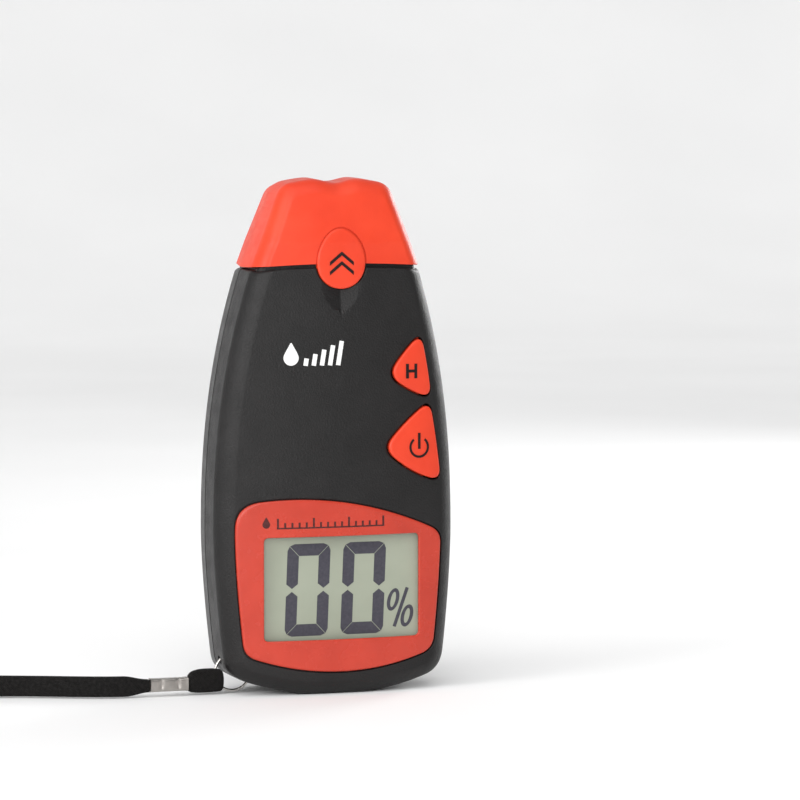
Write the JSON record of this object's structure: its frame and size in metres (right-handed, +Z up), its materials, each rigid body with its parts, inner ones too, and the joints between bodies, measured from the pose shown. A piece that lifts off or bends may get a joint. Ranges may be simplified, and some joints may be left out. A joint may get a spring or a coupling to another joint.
{
  "type": "moisture meter",
  "caption": "Handheld pin-type moisture meter: black two-part case, red pull-off cap over the pins, red-framed display, two red buttons, battery door at the back and a wrist strap.",
  "frame": {"origin": "middle of the meter's box without its strap, on the surface that its foot stands on", "axes": "+Z up to the pins, -Y out of the display, +X to the right of the display"},
  "size_m": [0.2048, 0.043, 0.1413],
  "materials": {
    "case_black": "fine-textured black ABS, satin",
    "inner_black": "plain black moulding",
    "signal_red": "orange-red moulded plastic, semi-gloss",
    "frame_red": "glossy red plastic",
    "nickel": "polished nickel",
    "brass": "nickelled brass",
    "glass_grey": "grey-green reflective liquid crystal cell",
    "white_plastic": "white moulding",
    "silicone": "layered conductive silicone",
    "board_green": "green solder mask on glass fibre",
    "battery_wrap": "plain printed steel can",
    "lead_red": "red wire insulation",
    "lead_black": "black wire insulation",
    "foam": "closed-cell foam",
    "steel": "zinc-plated steel",
    "webbing": "woven black polyester band"
  },
  "bodies": {
    "root": {"front_shell": "case_black", "back_shell": "case_black", "electrode_plate": "signal_red", "electrode_pin_1": "nickel", "electrode_pin_2": "nickel", "electrode_pin_3": "nickel", "electrode_pin_4": "nickel", "pin_nut_1": "brass", "pin_nut_2": "brass", "pin_nut_3": "brass", "pin_nut_4": "brass", "contact_bar_left": "brass", "contact_bar_right": "brass", "display_frame": "frame_red", "display_glass": "glass_grey", "display_holder": "white_plastic", "contact_strip_lower": "silicone", "contact_strip_upper": "silicone", "circuit_board": "board_green", "measuring_chip": "inner_black", "board_screw_1": "steel", "board_screw_2": "steel", "hold_switch": "inner_black", "power_switch": "inner_black", "battery": "battery_wrap", "battery_snap": "inner_black", "battery_bay": "inner_black", "battery_lead_red": "lead_red", "battery_lead_black": "lead_black", "probe_lead_left": "lead_black", "probe_lead_right": "lead_black", "case_screw_1": "steel", "case_screw_2": "steel", "case_screw_3": "steel", "case_screw_4": "steel", "strap_eye": "webbing", "strap_crimp": "steel", "wrist_strap": "webbing"},
    "pin_cap": {"pin_cap": "signal_red"},
    "hold_key": {"hold_button": "signal_red", "hold_plunger": "white_plastic"},
    "power_key": {"power_button": "signal_red", "power_plunger": "white_plastic"},
    "door": {"battery_door": "case_black", "door_pad": "foam"},
    "ring": {"lanyard_ring": "nickel"}
  },
  "joints": [
    {"name": "cap_slide", "type": "slide", "parent": "root", "child": "pin_cap", "axis": [0, 0, 1], "range_m": [0, 0.045]},
    {"name": "hold_button_press", "type": "slide", "parent": "root", "child": "hold_key", "axis": [0, 1, 0], "range_m": [0, 0.0008], "stiffness_N_per_m": 300},
    {"name": "power_button_press", "type": "slide", "parent": "root", "child": "power_key", "axis": [0, 1, 0], "range_m": [0, 0.0008], "stiffness_N_per_m": 300},
    {"name": "battery_door_swing", "type": "hinge", "parent": "root", "child": "door", "pos_m": [0, 0.012, 0.0532], "axis": [-1, 0, 0], "range_deg": [0, 95]},
    {"name": "ring_spin", "type": "hinge", "parent": "root", "child": "ring", "pos_m": [-0.028, -0.0015, 0.0059], "axis": [0, 1, 0], "continuous": true}
  ]
}
